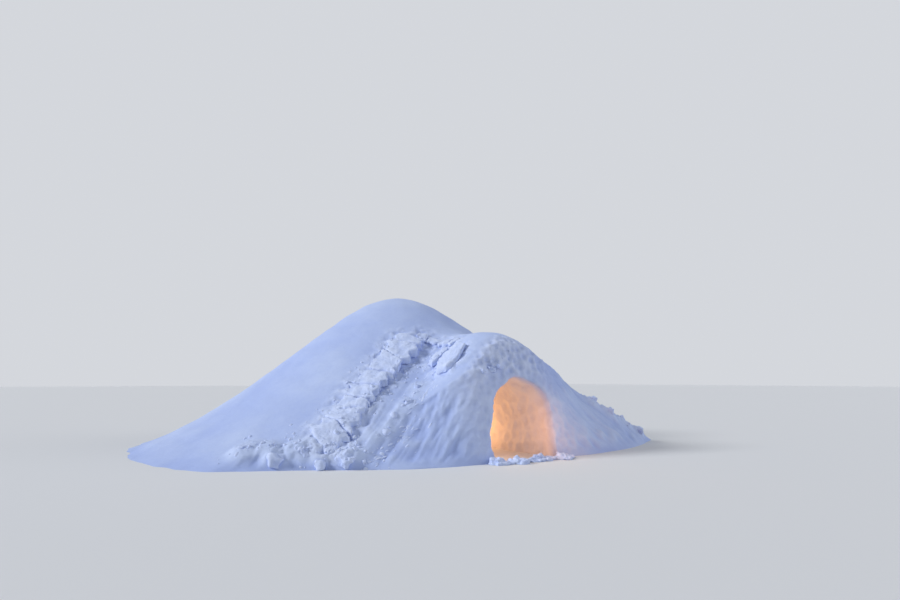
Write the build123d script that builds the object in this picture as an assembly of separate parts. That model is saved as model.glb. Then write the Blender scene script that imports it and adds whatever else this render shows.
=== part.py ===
"""Heaped-snow igloo: a domed chamber hollowed in a packed heap, reached by an arched entrance tunnel.

All sizes are in millimetres. The work is drawn in the doorway's frame: x runs to the right as seen from
outside, y runs from the doorway back into the heap, z is up from the ground. The finished pieces are
moved together at the end so that the origin lies under the middle of the whole.
"""
import math
import os

from build123d import *

# Dome heap
DOME_TOP = 3560.0        # crown above the ground
DOME_SPREAD = 4000.0     # plan radius over which the bell falls
DOME_FALL = 1.87         # exponent of the bell: larger gives a flatter crown and steeper flanks
DOME_BACK = 4600.0       # dome axis behind the doorway
DOME_ASIDE = 275.0       # dome axis to the left of the tunnel axis
TOE_DEPTH = 450.0        # how far below the ground the bell runs out, which sets the angle of the toe

# Porch heap over the tunnel
PORCH_TOP = 2500.0       # ridge of the porch above the ground
PORCH_SPREAD_LEFT = 2300.0
PORCH_SPREAD_RIGHT = 3700.0
PORCH_SPREAD_FRONT = 2000.0
PORCH_FALL = 1.76        # exponent of the porch's bell
PORCH_RIDGE_END = 1130.0  # front end of the level ridge behind the doorway
VALLEY_BLEND = 110.0     # softness of the valley between dome and porch

# Dug front face
FACE_LEAN = 71.0         # degrees from level beside the doorway
FACE_LEAN_LEFT = 41.0    # degrees from level far to the left
FACE_LEAN_RIGHT = 46.0   # degrees from level far to the right
FACE_TOE = 150.0         # foot of the face in front of the doorway plane
FACE_TURN_LEFT = 1700.0  # distance over which the face eases back on the left
FACE_TURN_RIGHT = 1900.0
FACE_SWEEP_LEFT = 0.36   # how strongly the foot line sweeps back on the left
FACE_SWEEP_RIGHT = 0.30  # and of the right wing
FACE_SWEEP_LENGTH_LEFT = 4000.0   # distance over which the sweep sets in
FACE_SWEEP_LENGTH_RIGHT = 5000.0

# Doorway and tunnel
DOOR_WIDTH = 1520.0
DOOR_HEIGHT = 1570.0
TUNNEL_WIDTH = 1560.0
TUNNEL_HEIGHT = 1640.0
TUNNEL_FLARE = 1.10      # how much wider the mouth is in front of the face
MOUTH_SHARE = 0.30       # length of the flare in front of the face's foot, as a share of the doorway's width
TUNNEL_END = 0.75        # how far the tunnel ends from the dome's axis, as a share of the chamber's radius

# Chamber
CHAMBER_RADIUS = 2450.0
CHAMBER_HEIGHT = 2720.0
CHAMBER_SHAPE = [(0.955, 0.38), (0.68, 0.78)]  # shares of radius and height that the wall leans in through

# Joints between the pieces
LIFT_LOW = 1150.0        # level joint at the springing of the tunnel arch
LIFT_HIGH = 2180.0       # level joint under the crown
NECK_MARGIN = 260.0      # snow between the chamber's front and the joint to the porch
CHEEK_WIDTH = 1000.0     # width of the walls beside the doorway
BANK_WIDTH = 1500.0      # width of the inner bank left of the cheek wall
PORTAL_DEPTH = 950.0     # depth of the hewn portal behind the doorway plane

# Directions about the dome's axis between which each piece of a lift lies, in degrees
LOW_GORES = {
    "neck_wall_left": (240, 276), "neck_wall_right": (276, 308),
    "dome_wall_front_right": (308, 345), "dome_wall_right": (345, 385),
    "dome_wall_back_right": (25, 68), "dome_wall_back": (68, 112), "dome_wall_back_left": (112, 155),
    "dome_wall_left": (155, 198), "dome_wall_front_left": (198, 240),
}
HIGH_GORES = {
    "shoulder_front": (238, 310), "shoulder_right": (310, 382), "shoulder_back_right": (22, 94),
    "shoulder_back_left": (94, 166), "shoulder_left": (166, 238),
}

NECK_Y = DOME_BACK - CHAMBER_RADIUS - NECK_MARGIN
CHEEK_X = DOOR_WIDTH / 2 + CHEEK_WIDTH
BANK_X = -CHEEK_X - BANK_WIDTH

# Broken crust along the edge of the dug side
CRUST_TILT = 10.0        # degrees by which a plate is tipped up about its outer edge
CRUST_STEP = 20.0        # how far its outer edge stands out of the heap
CRUST_LIP = 120.0        # how far the plates stand out over the dug face, measured level
CRUST_CRACK = 40.0       # open crack between neighbouring plates
CRUST_STRAY = 0.24       # how far a crack strays from even spacing, as a share of a plate's length
CRUST_SLANT = 0.20       # how far its two ends lie apart along the band, as a share of a plate's length
CRUST_REACH = 0.49       # from the band's middle line to its edges, as a share of its width
CRUST_RAGGED = 0.12      # how far the edges wander from that, as a share of its width
CRUST_WIDTH = 640.0      # of the main band down the left flank
CRUST_PLATES = 8
ARM_WIDTH = 260.0        # of the thin arm over the valley to the porch
ARM_PLATES = 4
SLAB_THICK = 95.0        # loose slabs lying beside the porch, square to the surface

# Loose snow
CLODS = 8                # in each row of clods on the flanks
CLOD_SINK = 0.30         # share of a clod's height that is bedded
CLOD_SHAPE = (1.0, 0.72, 0.62)     # length, width and height as shares of the length
CLOD_TRIM = (0.95, 1.15, 1.15)     # the turned block that knocks off its corners, as shares of its sizes
CLOD_TRIM_TURN = (18, 12, 38)      # turn of that block in degrees
CLOD_GROW = (0.85, 0.25)           # usual share of the named length, and how far it varies
CLOD_STRAY = (0.25, 0.30)          # how far it lies off its row along x and y, as shares of its length
CLOD_TURN = 47                     # degrees by which each is turned on from the last
CLOD_TILT = 14                     # most that one leans, in degrees
CLOD_LEFT = 300.0        # length of a usual clod at the left foot
CLOD_RIGHT = 250.0       # on the right wing
STREAK_LUMP = 150.0      # of the crumbs strewn down the dug side
CHIP_SIZE = (190.0, 130.0, 90.0)
CHIP_ABOVE = 110.0       # height of the lowest hewn chip above the doorway
CHIP_TILT = 20           # degrees by which a chip leans
SILL_DEPTH = 300.0       # the crumbly sill in front of the doorway
SILL_HEIGHT = 40.0
SILL_REACH = 0.62        # from the tunnel's axis to either end, as a share of the doorway's width
SILL_WAVE = (0.8, 0.2)   # usual share of the depth along the front edge, and how far it varies
SILL_SEAT = 0.3          # how far the sill runs in behind the face's foot, as a share of its depth
SILL_CRUMB = 290.0
SILL_CRUMBS = 8
SILL_SINK = 0.48         # share of a crumb's height that is bedded in the sill

# Outlines as shares of half width and height, from the left foot over the top to the right foot
DOOR_SHAPE = [(-0.90, 0.0), (-0.98, 0.30), (-0.80, 0.55), (-0.61, 0.76), (-0.26, 0.90), (0.18, 1.0),
              (0.64, 0.93), (0.95, 0.82), (1.04, 0.68), (1.02, 0.46), (0.94, 0.22), (0.92, 0.0)]
TUNNEL_SHAPE = [(-0.98, 0.0), (-1.00, 0.26), (-0.97, 0.50), (-0.84, 0.74), (-0.52, 0.93), (0.00, 1.0),
                (0.52, 0.93), (0.84, 0.74), (0.97, 0.54), (1.00, 0.38), (1.00, 0.20), (0.98, 0.0)]

# Plan routes and outlines of what lies on the heap
CRUST_ROUTE = [(-1080, 2520), (-1620, 2240), (-2330, 1900), (-2880, 1560), (-3380, 1240), (-3700, 1150)]
ARM_ROUTE = [(-520, 1560), (-590, 2080), (-900, 2560)]
STREAK_ROUTE = [(-1560, 1200), (-2850, 700)]
LEFT_CLOD_ROUTE = [(-4850, 1750), (-3150, 520)]
RIGHT_CLOD_ROUTE = [(2950, 1090), (4650, 1010)]
SLAB_OUTLINE = [(-1160, 1300), (-940, 1340), (-690, 1210), (-720, 950), (-970, 820), (-1220, 870),
                (-1290, 1080)]
SLIVER_OUTLINE = [(-1170, 1600), (-950, 1650), (-770, 1580), (-830, 1400), (-1040, 1410), (-1200, 1430)]
CHIP_PLACES = [(-640, -10, 10), (-440, 30, -25), (-230, 90, 15)]  # aside, up from the lowest, turn in degrees

UNDER = 400.0            # how far cutting bodies run below the ground
SKIN_STEPS = 30          # places along each side of the grid that carries the heap's skin
FACE_STEPS = 44          # and along the dug face
SKIN_TOLERANCE = 10.0    # how closely a skin follows its grid
MARGIN = 1.08            # how far the skin runs out beyond the toe, as a share of its reach
WING_MARGIN = 1.12       # and beyond the right wing's toe
FRONT_MARGIN = 0.9       # how far it runs out before the doorway, as a share of the porch's spread there
AXIS_X, AXIS_Y = -DOME_ASIDE, DOME_BACK


def ease(t):
    """Smooth step from 0 to 1."""
    t = min(max(t, 0.0), 1.0)
    return t * t * (3 - 2 * t)


def uneven(number, pace, start=0.0):
    """Value from -1 to 1 that changes from one numbered piece to the next, at a pace in radians."""
    return math.sin(pace * number + start)


def bell(distance, top, fall):
    """Height of a bell whose distance is already divided by its spread."""
    return (top + TOE_DEPTH) * math.exp(-distance**fall) - TOE_DEPTH


def heap_height(x, y):
    """Height of the undug heap: dome and porch joined by a soft valley."""
    dome = bell(math.hypot(x - AXIS_X, y - AXIS_Y) / DOME_SPREAD, DOME_TOP, DOME_FALL)
    spread = PORCH_SPREAD_LEFT if x < 0 else PORCH_SPREAD_RIGHT
    along = y - min(max(y, PORCH_RIDGE_END), DOME_BACK)
    porch = bell(math.hypot(x / spread, along / PORCH_SPREAD_FRONT), PORCH_TOP, PORCH_FALL)
    high = max(dome, porch)
    return high + VALLEY_BLEND * math.log(
        math.exp((dome - high) / VALLEY_BLEND) + math.exp((porch - high) / VALLEY_BLEND))


def face_y(x, z):
    """Where the dug front face stands at a given place along it and height."""
    edge = DOOR_WIDTH / 2
    left, right = max(-x - edge, 0.0), max(x - edge, 0.0)
    lean = FACE_LEAN - (FACE_LEAN - FACE_LEAN_LEFT) * ease(left / FACE_TURN_LEFT)
    lean -= (FACE_LEAN - FACE_LEAN_RIGHT) * ease(right / FACE_TURN_RIGHT)
    foot = FACE_SWEEP_LEFT * left * ease(left / FACE_SWEEP_LENGTH_LEFT) - FACE_TOE
    foot += FACE_SWEEP_RIGHT * right * ease(right / FACE_SWEEP_LENGTH_RIGHT)
    return foot + z / math.tan(math.radians(lean))


def surface_height(x, y):
    """Height of the finished heap, dug face included."""
    low, high = -TOE_DEPTH, heap_height(x, y)
    if face_y(x, high) <= y:
        return high
    for _ in range(30):
        middle = (low + high) / 2
        if face_y(x, middle) <= y:
            low = middle
        else:
            high = middle
    return low


# Reach of the heap on the ground
DOME_TOE = DOME_SPREAD * math.log((DOME_TOP + TOE_DEPTH) / TOE_DEPTH) ** (1 / DOME_FALL)
PORCH_TOE = PORCH_SPREAD_RIGHT * math.log((PORCH_TOP + TOE_DEPTH) / TOE_DEPTH) ** (1 / PORCH_FALL)
X_MIN, X_MAX = AXIS_X - MARGIN * DOME_TOE, max(AXIS_X + MARGIN * DOME_TOE, WING_MARGIN * PORCH_TOE)
Y_MIN, Y_MAX = -FRONT_MARGIN * PORCH_SPREAD_FRONT, AXIS_Y + MARGIN * DOME_TOE
FAR = 3 * DOME_TOE
SKY = DOME_TOP + UNDER


def steps_between(low, high, count):
    """Evenly spaced values with both ends."""
    return [low + (high - low) * i / (count - 1) for i in range(count)]


def block(x0, x1, y0, y1, z0, z1):
    """Box between two corners."""
    return Pos((x0 + x1) / 2, (y0 + y1) / 2, (z0 + z1) / 2) * Box(x1 - x0, y1 - y0, z1 - z0)


def above_ground(solid):
    """What stands above the ground plane."""
    return solid & block(-FAR, FAR, -FAR, FAR, 0, 2 * SKY)


def largest(shape):
    """The largest solid of a cut."""
    return shape.solids().sort_by(SortBy.VOLUME)[-1]


def skin_through(grid):
    """Smooth face through a grid of places."""
    return Face.make_surface_from_array_of_points(grid, tol=SKIN_TOLERANCE, min_deg=3, max_deg=3)


def undug_heap():
    """Heap under one smooth skin, carried on well below the ground."""
    grid = [[Vector(x, y, heap_height(x, y)) for y in steps_between(Y_MIN, Y_MAX, SKIN_STEPS)]
            for x in steps_between(X_MIN, X_MAX, SKIN_STEPS)]
    return extrude(skin_through(grid), amount=SKY + UNDER, dir=(0, 0, -1))


def dug_front():
    """Everything in front of the dug face, as one cutting body."""
    grid = [[Vector(x, face_y(x, z), z) for z in steps_between(-2 * UNDER, 2 * SKY, 4)]
            for x in steps_between(X_MIN - UNDER, X_MAX + UNDER, FACE_STEPS)]
    return extrude(skin_through(grid), amount=FAR, dir=(0, -1, 0))


def arch_section(y, shape, width, height):
    """Closed outline of the passage standing across the tunnel at one place."""
    points = [(x * width / 2, y, z * height) for x, z in shape]
    left_foot = (points[0][0], y, -UNDER)
    right_foot = (points[-1][0], y, -UNDER)
    edges = [Line(left_foot, points[0]), Spline(*points), Line(points[-1], right_foot),
             Line(right_foot, left_foot)]
    return Face(Wire(edges))


def tunnel_void():
    """Passage from the flared doorway to the chamber, changing from a hewn point to a round arch."""
    mouth_y = -FACE_TOE - MOUTH_SHARE * DOOR_WIDTH
    throat_y = face_y(0, DOOR_HEIGHT)
    inner_y = DOME_BACK - TUNNEL_END * CHAMBER_RADIUS
    sections = [
        arch_section(mouth_y, DOOR_SHAPE, DOOR_WIDTH * TUNNEL_FLARE, DOOR_HEIGHT * TUNNEL_FLARE),
        arch_section(throat_y, DOOR_SHAPE, DOOR_WIDTH, DOOR_HEIGHT),
        arch_section(inner_y, TUNNEL_SHAPE, TUNNEL_WIDTH, TUNNEL_HEIGHT),
    ]
    return loft(sections)


def chamber_void():
    """Domed chamber: a wall that leans in gently and closes to a level crown."""
    r, h = CHAMBER_RADIUS, CHAMBER_HEIGHT
    leaning = [(across * r, 0, up * h) for across, up in CHAMBER_SHAPE]
    wall = Spline((r, 0, 0), *leaning, (0, 0, h), tangents=((0, 0, 1), (-1, 0, 0)))
    edges = [Line((0, 0, -UNDER), (r, 0, -UNDER)), Line((r, 0, -UNDER), (r, 0, 0)), wall,
             Line((0, 0, h), (0, 0, -UNDER))]
    return Pos(AXIS_X, AXIS_Y, 0) * revolve(Face(Wire(edges)), Axis.Z, 360)


def sector(from_angle, to_angle):
    """Upright wedge about the dome's axis between two directions in degrees."""
    rim = [(AXIS_X + FAR * math.cos(math.radians(a)), AXIS_Y + FAR * math.sin(math.radians(a)))
           for a in steps_between(from_angle, to_angle, 4)]
    outline = make_face(Polyline((AXIS_X, AXIS_Y), *rim, close=True))
    return Pos(0, 0, -UNDER) * extrude(outline, amount=2 * SKY)


def dome_pieces(shell):
    """Gores of the dome in two lifts, the neck walls of the tunnel mouth, and the crown."""
    back = shell & block(-FAR, FAR, NECK_Y, FAR, -UNDER, SKY)
    low = back & block(-FAR, FAR, -FAR, FAR, -UNDER, LIFT_LOW)
    high = back & block(-FAR, FAR, -FAR, FAR, LIFT_LOW, LIFT_HIGH)
    nodes = {name: [largest(low & sector(*angles))] for name, angles in LOW_GORES.items()}
    nodes |= {name: [largest(high & sector(*angles))] for name, angles in HIGH_GORES.items()}
    nodes["dome_crown"] = [largest(back & block(-FAR, FAR, -FAR, FAR, LIFT_HIGH, 2 * SKY))]
    return nodes


def porch_pieces(shell):
    """Cheek walls and arch of the portal, tunnel walls and vault, banks and wing of the porch."""
    front = shell & block(-FAR, FAR, -FAR, NECK_Y, -UNDER, SKY)
    cells = {
        "cheek_wall_left": (-CHEEK_X, 0, -FAR, PORTAL_DEPTH, -UNDER, LIFT_LOW),
        "cheek_wall_right": (0, CHEEK_X, -FAR, PORTAL_DEPTH, -UNDER, LIFT_LOW),
        "tunnel_wall_left": (-CHEEK_X, 0, PORTAL_DEPTH, NECK_Y, -UNDER, LIFT_LOW),
        "tunnel_wall_right": (0, CHEEK_X, PORTAL_DEPTH, NECK_Y, -UNDER, LIFT_LOW),
        "portal_arch": (-CHEEK_X, CHEEK_X, -FAR, PORTAL_DEPTH, LIFT_LOW, SKY),
        "tunnel_vault": (-CHEEK_X, CHEEK_X, PORTAL_DEPTH, NECK_Y, LIFT_LOW, SKY),
        "bank_left_inner": (BANK_X, -CHEEK_X, -FAR, NECK_Y, -UNDER, LIFT_LOW),
        "bank_left_outer": (-FAR, BANK_X, -FAR, NECK_Y, -UNDER, LIFT_LOW),
        "flank_left_upper": (-FAR, -CHEEK_X, -FAR, NECK_Y, LIFT_LOW, SKY),
        "wing_right": (CHEEK_X, FAR, -FAR, NECK_Y, -UNDER, LIFT_LOW),
        "flank_right_upper": (CHEEK_X, FAR, -FAR, NECK_Y, LIFT_LOW, SKY),
    }
    return {name: [largest(front & block(*corners))] for name, corners in cells.items()}


def crack_share(number, count, side):
    """Where a crack meets the outer (-1) or dug (1) edge of a band, as a share of the band's route."""
    if number in (0, count):
        return number / count
    stray = CRUST_STRAY * uneven(number, 5.1) + side * CRUST_SLANT * uneven(number, 3.7, 1)
    return (number + stray) / count


def crust_plates(route, width, count, heap, front, body):
    """Broken crust along a plan route: plates parted by slanting cracks, each tipped up on the dug side."""
    line = Spline(*[(x, y, 0) for x, y in route])
    crack = CRUST_CRACK / 2 / line.length
    plates = []
    for i in range(count):
        edges = {}
        for side in (-1, 1):
            start, end = crack_share(i, count, side) + crack, crack_share(i + 1, count, side) - crack
            edges[side] = []
            for j, share in enumerate(steps_between(start, end, 5)):
                place, along = line @ share, line % share
                reach = width * (CRUST_REACH + CRUST_RAGGED * uneven(4 * i + j, 2.4 + 0.3 * side, side))
                edges[side].append(place + Vector(-along.Y, along.X) * side * reach)
        outline = Polyline(*edges[-1], *reversed(edges[1]), close=True)
        prism = extrude(make_face(outline), amount=SKY, dir=(0, 0, 1))
        hinge = [Vector(p.X, p.Y, heap_height(p.X, p.Y)) for p in (edges[-1][0], edges[-1][-1])]
        tipped = (Pos(0, 0, CRUST_STEP) * heap).rotate(Axis(hinge[0], hinge[1] - hinge[0]), CRUST_TILT)
        lip = (tipped & prism) - Pos(0, -CRUST_LIP, 0) * front
        plates.append(largest(above_ground(lip) - body))
    return plates


def outward(x, y):
    """Direction square to the finished heap's surface."""
    reach = SLAB_THICK
    slope_x = (surface_height(x + reach, y) - surface_height(x - reach, y)) / (2 * reach)
    slope_y = (surface_height(x, y + reach) - surface_height(x, y - reach)) / (2 * reach)
    return Vector(-slope_x, -slope_y, 1).normalized()


def slab(outline, deep, body):
    """Slab of evenly thick snow lying on the heap's surface inside a plan outline."""
    middle_x = sum(x for x, y in outline) / len(outline)
    middle_y = sum(y for x, y in outline) / len(outline)
    prism = extrude(make_face(Polyline(*outline, close=True)), amount=SKY, dir=(0, 0, 1))
    lifted = Pos(*(outward(middle_x, middle_y) * SLAB_THICK)) * deep
    return largest(above_ground(lifted & prism) - body)


def clod(x, y, z, size, turn, tilt, body):
    """Broken lump with knocked-off corners, bedded in the heap or the ground."""
    block_size = [part * share for part, share in zip(size, CLOD_TRIM)]
    lump = Box(*size) & (Rot(*CLOD_TRIM_TURN) * Box(*block_size))
    return largest(above_ground(Pos(x, y, z) * Rot(tilt, tilt / 2, turn) * lump) - body)


def clod_row(route, count, size, sink, body):
    """Row of clods between two plan points, each a little different."""
    start, end = route
    row = []
    for i in range(count):
        share = (i + 0.5) / count
        x = start[0] + (end[0] - start[0]) * share + CLOD_STRAY[0] * size * uneven(i, 2.3)
        y = start[1] + (end[1] - start[1]) * share + CLOD_STRAY[1] * size * uneven(i, 1.7, math.pi / 2)
        grown = size * (CLOD_GROW[0] + CLOD_GROW[1] * uneven(i, 3.1, 1))
        lump = [grown * part for part in CLOD_SHAPE]
        z = max(surface_height(x, y), 0.0) + lump[2] * (0.5 - sink)
        row.append(clod(x, y, z, lump, CLOD_TURN * i, CLOD_TILT * uneven(i, 1.3), body))
    return row


def threshold_sill(body):
    """Low crumbly sill across the foot of the doorway, from cheek wall to cheek wall."""
    half = SILL_REACH * DOOR_WIDTH
    back = -FACE_TOE + SILL_SEAT * SILL_DEPTH
    front = [(x, -FACE_TOE - SILL_DEPTH * (SILL_WAVE[0] + SILL_WAVE[1] * uneven(i, 1.9)))
             for i, x in enumerate(steps_between(-half, half, 9))]
    outline = Polyline((-half, back), *front, (half, back), close=True)
    sill = extrude(make_face(outline), amount=SILL_HEIGHT)
    middle = -FACE_TOE - 0.5 * SILL_DEPTH
    for crumb in clod_row([(-half, middle), (half, middle)], SILL_CRUMBS, SILL_CRUMB, SILL_SINK, body):
        sill = sill + crumb
    return largest(sill - body)


def loose_pieces(heap, front, deep, body):
    """Broken crust, loose slabs, hewn chips, clods and the crumbs at the threshold."""
    arm = crust_plates(ARM_ROUTE, ARM_WIDTH, ARM_PLATES, heap, front, body)
    band = crust_plates(CRUST_ROUTE, CRUST_WIDTH, CRUST_PLATES, heap, front, body)
    half = CRUST_PLATES // 2
    chips = []
    for x, up, turn in CHIP_PLACES:
        z = DOOR_HEIGHT + CHIP_ABOVE + up
        chips.append(clod(x, face_y(x, z), z, CHIP_SIZE, turn, CHIP_TILT, body))
    return {
        "crust_upper": arm + band[:half],
        "crust_lower": band[half:],
        "crust_slab": [slab(SLAB_OUTLINE, deep, body), slab(SLIVER_OUTLINE, deep, body)],
        "crust_crumbs": clod_row(STREAK_ROUTE, CLODS, STREAK_LUMP, CLOD_SINK, body),
        "hewn_chips": chips,
        "threshold_sill": [threshold_sill(body)],
        "foot_clods_left": clod_row(LEFT_CLOD_ROUTE, CLODS, CLOD_LEFT, CLOD_SINK, body),
        "foot_clods_right": clod_row(RIGHT_CLOD_ROUTE, CLODS, CLOD_RIGHT, CLOD_SINK, body),
    }


def write(nodes):
    """Move the pieces to the shared origin and write one file for each."""
    box = Compound([s for solids in nodes.values() for s in solids]).bounding_box()
    shift_x, shift_y = -(box.min.X + box.max.X) / 2, -(box.min.Y + box.max.Y) / 2
    os.makedirs("parts", exist_ok=True)
    for name, solids in nodes.items():
        moved = [Pos(shift_x, shift_y, 0) * s for s in solids]
        export_step(moved[0] if len(moved) == 1 else Compound(moved), f"parts/{name}.step")
    print(f"shift {shift_x:.1f} {shift_y:.1f}, size {box.size.X:.0f} {box.size.Y:.0f} {box.size.Z:.0f}")
    volume = sum(s.volume for solids in nodes.values() for s in solids) / 1e9
    print(f"{len(nodes)} pieces, {volume:.2f} cubic metres of snow")


def main():
    """Cut the hollow heap into its pieces, add the loose snow and write all of it."""
    heap, front = undug_heap(), dug_front()
    deep = heap - front
    body = largest(above_ground(deep))
    shell = largest(body - tunnel_void() - chamber_void())
    nodes = dome_pieces(shell) | porch_pieces(shell) | loose_pieces(heap, front, deep, body)
    write(nodes)


main()
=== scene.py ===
"""Dress the heaped-snow igloo: one weathered mass of snow cut into the frame's pieces, and its loose snow.

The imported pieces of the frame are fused, remeshed and weathered as one body, so that no joint shows, and then
cut along the frame's own joints. Crust, clods, chips and the threshold sill are roughened one by one, and
small crumbs are strewn over all of it. Lengths are in metres.
"""
import logging
import math
import random
from dataclasses import dataclass
from enum import Enum
from typing import ClassVar

import bmesh
import bpy
import numpy as np
from bmesh.types import BMEdge, BMesh, BMFace, BMVert
from bpy.types import ID, Material, Mesh, NodeSocket, NodeTree, Object
from mathutils import Euler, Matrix, Quaternion, Vector, noise
from mathutils.bvhtree import BVHTree
from mathutils.kdtree import KDTree

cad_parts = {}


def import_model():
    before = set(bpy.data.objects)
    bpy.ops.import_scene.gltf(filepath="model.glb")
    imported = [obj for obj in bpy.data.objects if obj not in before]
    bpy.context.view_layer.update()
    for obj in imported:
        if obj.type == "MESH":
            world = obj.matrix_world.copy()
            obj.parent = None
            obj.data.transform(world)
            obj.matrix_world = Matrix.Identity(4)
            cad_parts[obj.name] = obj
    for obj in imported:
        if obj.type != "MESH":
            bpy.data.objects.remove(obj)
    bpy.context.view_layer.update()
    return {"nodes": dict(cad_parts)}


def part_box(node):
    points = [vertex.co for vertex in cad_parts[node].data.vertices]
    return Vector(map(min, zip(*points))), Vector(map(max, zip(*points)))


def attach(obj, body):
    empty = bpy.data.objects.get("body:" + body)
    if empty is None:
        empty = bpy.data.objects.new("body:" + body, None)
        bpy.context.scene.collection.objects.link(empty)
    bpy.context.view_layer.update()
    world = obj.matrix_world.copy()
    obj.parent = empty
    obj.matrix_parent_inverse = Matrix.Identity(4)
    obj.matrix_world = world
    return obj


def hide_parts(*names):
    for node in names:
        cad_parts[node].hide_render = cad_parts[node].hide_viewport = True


LOG = logging.getLogger("igloo")

Triple = tuple[float, float, float]
Limits = tuple[float, float]
Plane = tuple[Triple, Triple]
Nodes = dict[str, Object]

# Points that are joined, points that lie on the ground and points that lie on a cut, by their distance.
WELD, SOLE, CUT = 1e-5, 1e-4, 1e-6
# Moves of one round of relaxing: towards the neighbours and part of the way back.
PUSH, BACK = 0.6, -0.5
# Weights below this leave no relief.
SLIGHT = 0.02
# Least length by which a sum of normals is divided.
LEAST_LENGTH = 1e-12
# Relief of chipped snow: how steep the chips are, and the height that is subtracted.
CHIP_STEEPNESS, CHIP_MIDDLE = 1.2, 0.5
# Weights of the painted hollow shade, which paints the colour darker in hollows and lighter on crests: of level
# snow, of lumps and of crumbs, and how many depths of relief span 0 to 1.
LEVEL_HOLLOW_SHADE, LUMP_HOLLOW_SHADE, CRUMB_HOLLOW_SHADE, HOLLOW_SHADE_SPAN = 0.5, 0.6, 0.7, 3


class Slot(Enum):
    """The record's material slots."""

    PACKED = "packed_snow"
    HEWN = "hewn_snow"
    GLAZED = "glazed_snow"
    LOOSE = "loose_snow"


class Mask(Enum):
    """Weights of the kinds of snow at the mass's points, and of the painted hollow shade."""

    HEWN = "hewn"
    DUG = "dug"
    GLAZE = "glaze"
    CRUST = "crust"
    DRIFT = "drift"
    # Painted shade: low in the relief's hollows, which are painted darker, and high on its crests, which are
    # painted lighter.
    RELIEF = "relief"


FINISH_MASKS = (Mask.HEWN, Mask.GLAZE, Mask.CRUST, Mask.RELIEF)
Cells = list[tuple[str, BMesh]]


def smooth_step(value: np.ndarray, low: float, high: float) -> np.ndarray:
    """Ease each value from 0 at the low limit to 1 at the high one."""
    t = np.clip((value - low) / (high - low), 0.0, 1.0)
    return t * t * (3.0 - 2.0 * t)


@dataclass(frozen=True)
class Layout:
    """Places that the frame's pieces give: the tunnel's axis, the dome's axis and the joints."""

    door_x: float
    door_y: float
    neck_y: float
    dome_x: float
    dome_y: float
    lift_low: float
    lift_high: float

    PORTAL_DEPTH: ClassVar[float] = 0.95

    @classmethod
    def from_frame(cls) -> "Layout":
        """Read the places from the boxes of the frame's pieces.

        Returns:
            The igloo's layout.
        """
        vault_low, vault_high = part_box("tunnel_vault")
        crown_low, crown_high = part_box("dome_crown")
        return cls(
            door_x=(vault_low.x + vault_high.x) / 2, door_y=vault_low.y - cls.PORTAL_DEPTH,
            neck_y=vault_high.y, dome_x=(crown_low.x + crown_high.x) / 2,
            dome_y=crown_high.y - (crown_high.x - crown_low.x) / 2,
            lift_low=vault_low.z, lift_high=crown_low.z,
        )

    def door(self) -> Vector:
        """Foot of the doorway's middle."""
        return Vector((self.door_x, self.door_y, 0))


@dataclass(frozen=True)
class Cloud:
    """Cloudy noise: the size of its clouds, the octaves of finer ones and their strength."""

    size: float
    detail: float
    rough: float = 0.55


@dataclass(frozen=True)
class Tone:
    """Look of one kind of snow: its light and shade colours, between which it wanders at random and which also
    paint shade in hollows and light on crests, its gloss, and the size and depth of its grain and lumps.
    """

    light: Triple
    shade: Triple
    roughness: float
    grain_size: float
    grain_depth: float
    lump_size: float
    lump_depth: float


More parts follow.
